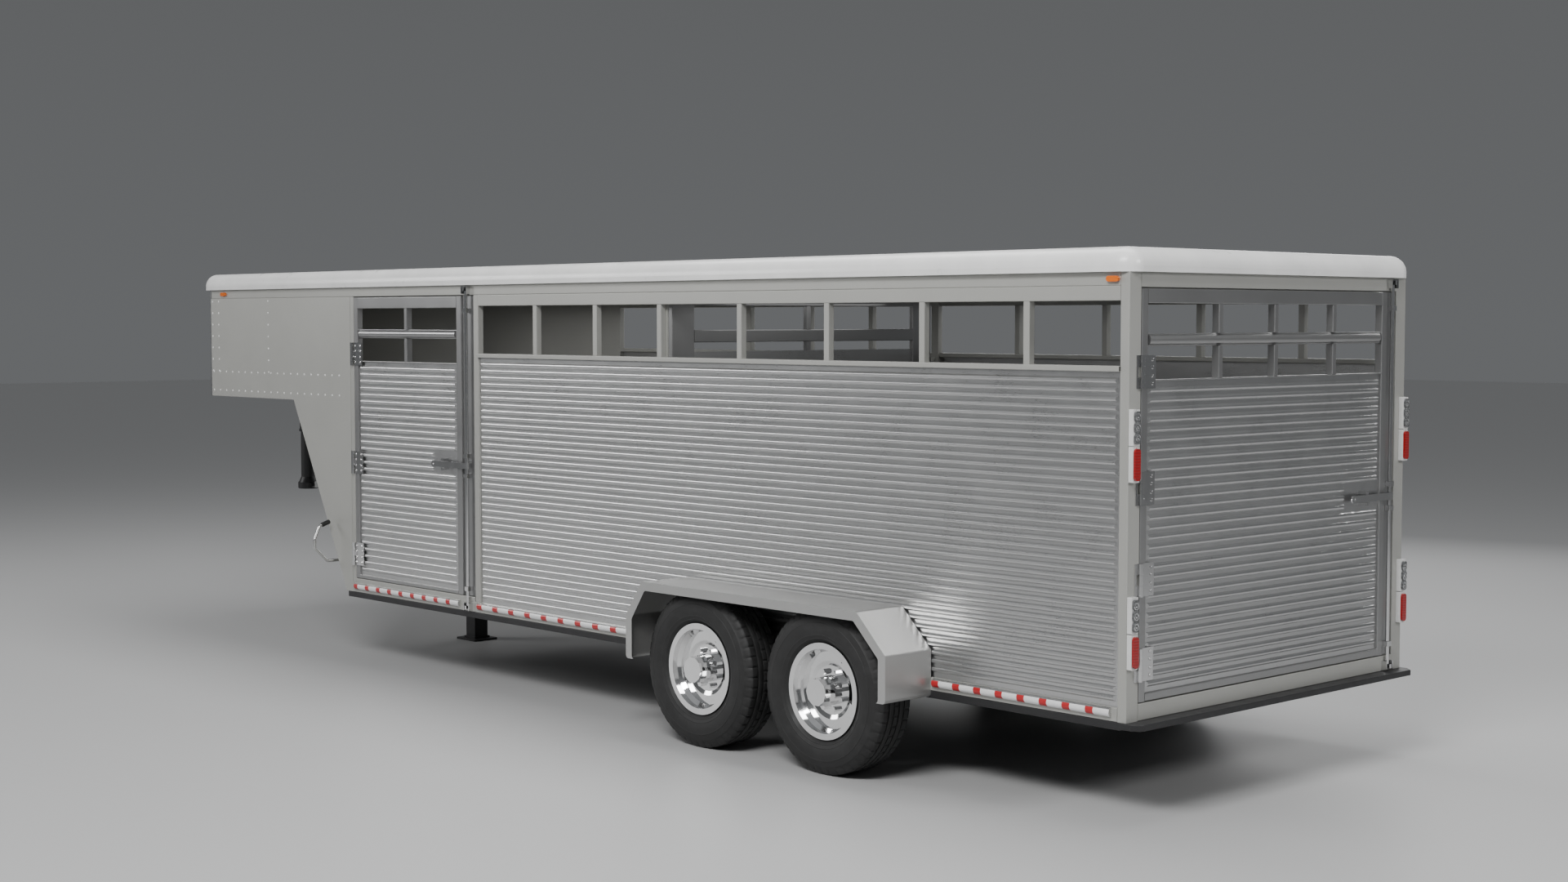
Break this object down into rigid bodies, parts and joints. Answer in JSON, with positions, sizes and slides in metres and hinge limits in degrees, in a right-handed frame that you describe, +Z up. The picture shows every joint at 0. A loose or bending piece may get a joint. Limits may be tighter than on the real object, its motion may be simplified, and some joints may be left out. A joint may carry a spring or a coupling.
{
  "type": "livestock trailer",
  "caption": "Gooseneck livestock trailer with a tapered nose, ribbed walls with air slots, sprung tandem wheels, swing rear door, side escape door and centre gate.",
  "frame": {"origin": "on the ground under the middle of the overall length and width", "axes": "+X rearwards, +Y to the trailer's right-hand side, +Z up"},
  "size_m": [8.7, 2.73, 2.413],
  "materials": {
    "roof_white": "satin white paint on aluminium sheet",
    "wall_panel": "bright extruded aluminium with half-round ribs",
    "frame_aluminium": "satin mill-finish extrusion",
    "nose_sheet": "satin smooth sheet",
    "bright_trim": "polished",
    "floor_plank": "mill-finish plank",
    "chassis_black": "satin black",
    "fender_sheet": "satin pressed sheet",
    "rub_rail_band": "white reflective band with red stretches",
    "lamp_white": "gloss white housing",
    "lens_clear": "clear moulded lens",
    "lens_red": "red moulded lens",
    "lens_amber": "amber moulded lens",
    "coupler_black": "satin black",
    "jack_black": "satin black",
    "latch_chrome": "polished plated steel",
    "wheel_chrome": "polished plated steel",
    "zinc_steel": "bright zinc-plated",
    "grip_rubber": "matt black",
    "tyre": "matt black tread"
  },
  "bodies": {
    "trailer": {"roof": "roof_white", "floor": "floor_plank", "drop_wall": "nose_sheet", "underframe": "chassis_black", "rear_bumper": "chassis_black", "wall_rails": "frame_aluminium", "wall_posts": "frame_aluminium", "window_rails": "frame_aluminium", "window_posts": "frame_aluminium", "side_panels": "wall_panel", "nose_sides": "nose_sheet", "nose_skin": "nose_sheet", "nose_corners": "bright_trim", "rear_frame": "frame_aluminium", "rub_rails": "rub_rail_band", "fender_left": "fender_sheet", "fender_right": "fender_sheet", "axles": "chassis_black", "lamp_housings": "lamp_white", "lamps_clear": "lens_clear", "lamps_red": "lens_red", "marker_lamps": "lens_amber", "coupler_receiver": "coupler_black", "jack_housing": "jack_black", "hinge_leaves": "latch_chrome", "lock_keepers": "latch_chrome", "gate_posts": "frame_aluminium"},
    "rear_door": {"rear_door_frame": "frame_aluminium", "rear_door_panel": "wall_panel", "rear_door_hinges": "latch_chrome", "rear_door_guides": "latch_chrome"},
    "rear_lock": {"rear_door_lock_bar": "latch_chrome"},
    "escape_door": {"escape_door_frame": "frame_aluminium", "escape_door_panel": "wall_panel", "escape_door_hinges": "latch_chrome", "escape_door_guides": "latch_chrome"},
    "escape_lock": {"escape_door_lock_bar": "latch_chrome"},
    "centre_gate": {"gate_frame": "frame_aluminium", "gate_panel": "wall_panel"},
    "gate_latch": {"gate_latch": "zinc_steel"},
    "arm_left_rear": {"torsion_arm_left_rear": "chassis_black"},
    "wheel_left_rear": {"tyre_left_rear": "tyre", "wheel_left_rear": "wheel_chrome"},
    "arm_left_front": {"torsion_arm_left_front": "chassis_black"},
    "wheel_left_front": {"tyre_left_front": "tyre", "wheel_left_front": "wheel_chrome"},
    "arm_right_rear": {"torsion_arm_right_rear": "chassis_black"},
    "wheel_right_rear": {"tyre_right_rear": "tyre", "wheel_right_rear": "wheel_chrome"},
    "arm_right_front": {"torsion_arm_right_front": "chassis_black"},
    "wheel_right_front": {"tyre_right_front": "tyre", "wheel_right_front": "wheel_chrome"},
    "jack_crank": {"jack_crank": "zinc_steel", "crank_grip": "grip_rubber"},
    "jack_leg": {"jack_leg": "jack_black"},
    "coupler": {"coupler_tube": "coupler_black"},
    "coupler_latch": {"coupler_latch": "zinc_steel"}
  },
  "joints": [
    {"name": "rear_door_hinge", "type": "hinge", "parent": "trailer", "child": "rear_door", "pos_m": [4.287, -0.989, 1.4], "axis": [0, 0, -1], "range_deg": [0, 150]},
    {"name": "rear_lock_turn", "type": "hinge", "parent": "rear_door", "child": "rear_lock", "pos_m": [4.287, 0.929, 1.4], "axis": [0, 0, 1], "range_deg": [0, 90]},
    {"name": "escape_door_hinge", "type": "hinge", "parent": "trailer", "child": "escape_door", "pos_m": [-1.693, -1.079, 1.4], "axis": [0, 0, -1], "range_deg": [0, 135]},
    {"name": "escape_lock_turn", "type": "hinge", "parent": "escape_door", "child": "escape_lock", "pos_m": [-0.467, -1.079, 1.4], "axis": [0, 0, 1], "range_deg": [0, 90]},
    {"name": "gate_hinge", "type": "hinge", "parent": "trailer", "child": "centre_gate", "pos_m": [1.242, 0.99, 1.4], "axis": [0, 0, 1], "range_deg": [-88, 88]},
    {"name": "gate_latch_slide", "type": "slide", "parent": "centre_gate", "child": "gate_latch", "axis": [0, 1, 0], "range_m": [0, 0.025], "stiffness_N_per_m": 400, "springref_m": -0.02},
    {"name": "arm_left_rear_pivot", "type": "hinge", "parent": "trailer", "child": "arm_left_rear", "pos_m": [2.55857, -0.984, 0.33283], "axis": [0, -1, 0], "range_deg": [-10, 4], "stiffness_Nm_per_rad": 2800, "springref_deg": -6.59},
    {"name": "wheel_left_rear_spin", "type": "hinge", "parent": "arm_left_rear", "child": "wheel_left_rear", "pos_m": [2.699, -1.205, 0.391], "axis": [0, 1, 0], "continuous": true},
    {"name": "arm_left_front_pivot", "type": "hinge", "parent": "trailer", "child": "arm_left_front", "pos_m": [1.68157, -0.984, 0.33283], "axis": [0, -1, 0], "range_deg": [-10, 4], "stiffness_Nm_per_rad": 2800, "springref_deg": -6.59},
    {"name": "wheel_left_front_spin", "type": "hinge", "parent": "arm_left_front", "child": "wheel_left_front", "pos_m": [1.822, -1.205, 0.391], "axis": [0, 1, 0], "continuous": true},
    {"name": "arm_right_rear_pivot", "type": "hinge", "parent": "trailer", "child": "arm_right_rear", "pos_m": [2.55857, 0.984, 0.33283], "axis": [0, -1, 0], "range_deg": [-10, 4], "stiffness_Nm_per_rad": 2800, "springref_deg": -6.59},
    {"name": "wheel_right_rear_spin", "type": "hinge", "parent": "arm_right_rear", "child": "wheel_right_rear", "pos_m": [2.699, 1.205, 0.391], "axis": [0, 1, 0], "continuous": true},
    {"name": "arm_right_front_pivot", "type": "hinge", "parent": "trailer", "child": "arm_right_front", "pos_m": [1.68157, 0.984, 0.33283], "axis": [0, -1, 0], "range_deg": [-10, 4], "stiffness_Nm_per_rad": 2800, "springref_deg": -6.59},
    {"name": "wheel_right_front_spin", "type": "hinge", "parent": "arm_right_front", "child": "wheel_right_front", "pos_m": [1.822, 1.205, 0.391], "axis": [0, 1, 0], "continuous": true},
    {"name": "jack_crank_turn", "type": "hinge", "parent": "trailer", "child": "jack_crank", "pos_m": [-1.93, -0.6, 0.605], "axis": [0, 1, 0], "range_deg": [0, 2160]},
    {"name": "jack_leg_slide", "type": "slide", "parent": "trailer", "child": "jack_leg", "axis": [0, 0, 1], "range_m": [0, 0.2402]},
    {"name": "coupler_height", "type": "slide", "parent": "trailer", "child": "coupler", "axis": [0, 0, 1], "range_m": [-0.1, 0.15]},
    {"name": "coupler_latch_slide", "type": "slide", "parent": "coupler", "child": "coupler_latch", "axis": [-1, 0, 0], "range_m": [0, 0.02], "stiffness_N_per_m": 400, "springref_m": -0.02}
  ],
  "couplings": [
    {"joint": "jack_leg_slide", "follows": "jack_crank_turn", "m_per_rad": 0.0063662}
  ]
}
